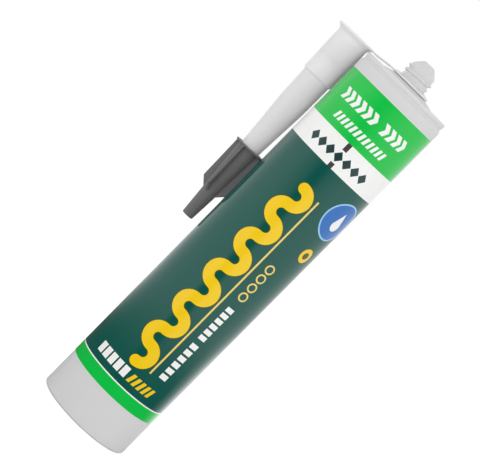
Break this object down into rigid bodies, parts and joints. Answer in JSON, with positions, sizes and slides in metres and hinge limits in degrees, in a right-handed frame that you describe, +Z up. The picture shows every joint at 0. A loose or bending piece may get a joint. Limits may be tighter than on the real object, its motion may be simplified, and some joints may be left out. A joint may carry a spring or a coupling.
{
  "type": "caulk tube",
  "caption": "Cartridge of paste with a piston behind it, a closed threaded neck, and a capped nozzle tied to the neck by a strap and a ring.",
  "frame": {"origin": "centre of the open rear rim, on the plane that the cartridge stands on", "axes": "+Z up along the cartridge to the neck, -X towards the hanging nozzle, -Y towards the label's front"},
  "size_m": [0.0708, 0.0502, 0.2302],
  "materials": {
    "barrel_plastic": "matt moulded light grey polyethylene",
    "piston_plastic": "matt moulded white polyethylene",
    "paste": "smooth off-white paste",
    "label_print": "glossy printed film in dark green, bright green, white and yellow",
    "nozzle_plastic": "satin pale polyethylene",
    "cap_plastic": "soft matt dark grey polyethylene"
  },
  "bodies": {
    "cartridge": {"cartridge_barrel": "barrel_plastic", "adhesive_fill": "paste", "label_film": "label_print"},
    "piston": {"piston": "piston_plastic"},
    "nozzle": {"nozzle": "nozzle_plastic"},
    "cap": {"nozzle_cap": "cap_plastic"}
  },
  "joints": [
    {"name": "piston_slide", "type": "slide", "parent": "cartridge", "child": "piston", "axis": [0, 0, 1], "range_m": [0, 0.18], "deforming": ["adhesive_fill"]},
    {"name": "nozzle_swivel", "type": "hinge", "parent": "cartridge", "child": "nozzle", "pos_m": [0, 0, 0.2178], "axis": [0, 0, 1], "continuous": true},
    {"name": "cap_pull", "type": "slide", "parent": "nozzle", "child": "cap", "axis": [0, 0, -1], "range_m": [0, 0.036]}
  ]
}
